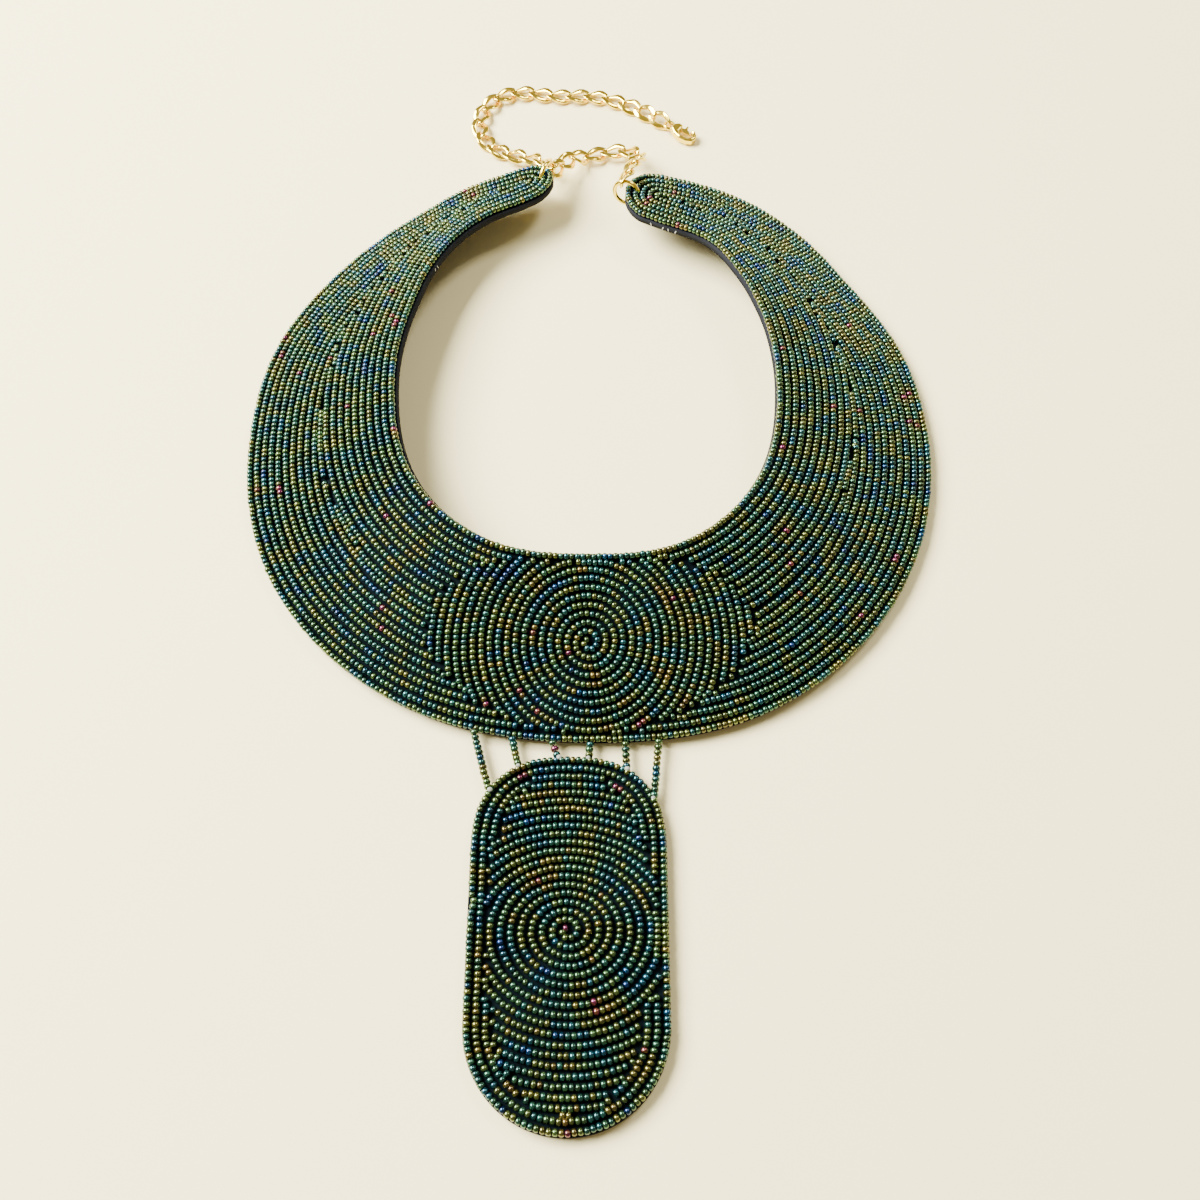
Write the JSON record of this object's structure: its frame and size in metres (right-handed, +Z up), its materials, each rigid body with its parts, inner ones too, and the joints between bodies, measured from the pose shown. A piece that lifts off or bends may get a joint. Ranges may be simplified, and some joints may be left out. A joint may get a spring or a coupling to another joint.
{
  "type": "bib necklace",
  "caption": "Stiff crescent collar of bead embroidery with an oval front medallion, a long oval plaque hung on bead strands, and a curb chain with a lobster clasp.",
  "frame": {"origin": "middle of the box in plan, on the table", "axes": "+Y from the plaque to the open back of the collar, +Z up, +X to the right as it lies"},
  "size_m": [0.2462, 0.4178, 0.0238],
  "materials": {
    "backing": "matt, dark",
    "bead_rows": "metallic lustre, green, teal and copper mixed",
    "centre_beads": "metallic lustre, olive and green mixed",
    "gold": "polished, gold-coloured"
  },
  "bodies": {
    "necklace": {"collar_backing": "backing", "pendant_backing": "backing", "collar_edge_row": "bead_rows", "left_wing_beads": "bead_rows", "right_wing_beads": "bead_rows", "pendant_edge_row": "bead_rows", "drop_strand_1": "bead_rows", "drop_strand_2": "bead_rows", "drop_strand_3": "bead_rows", "drop_strand_4": "bead_rows", "drop_strand_5": "bead_rows", "drop_strand_6": "bead_rows", "front_medallion": "centre_beads", "pendant_bead_field": "centre_beads", "left_tip_ring": "gold", "right_tip_ring": "gold", "chain_link_01": "gold", "chain_link_02": "gold", "chain_link_03": "gold", "chain_link_04": "gold", "chain_link_05": "gold", "chain_link_06": "gold", "chain_link_07": "gold", "chain_link_08": "gold", "chain_link_09": "gold", "chain_link_10": "gold", "chain_link_11": "gold", "chain_link_12": "gold", "chain_link_13": "gold", "chain_link_14": "gold", "chain_link_15": "gold", "chain_link_16": "gold", "chain_link_17": "gold", "chain_link_18": "gold", "chain_link_19": "gold", "chain_link_20": "gold", "chain_link_21": "gold", "chain_link_22": "gold", "chain_link_23": "gold", "chain_link_24": "gold", "chain_link_25": "gold", "chain_link_26": "gold", "chain_link_27": "gold", "chain_link_28": "gold", "chain_link_29": "gold", "clasp_body": "gold"},
    "clasp_lever": {"clasp_lever": "gold"}
  },
  "joints": [
    {"name": "clasp_lever_hinge", "type": "hinge", "parent": "necklace", "child": "clasp_lever", "pos_m": [0.03699, 0.18382, 0.00253], "axis": [-0.0723, 0.0543, -0.9959], "range_deg": [0, 20], "stiffness_Nm_per_rad": 0.01, "springref_deg": -5.73}
  ]
}
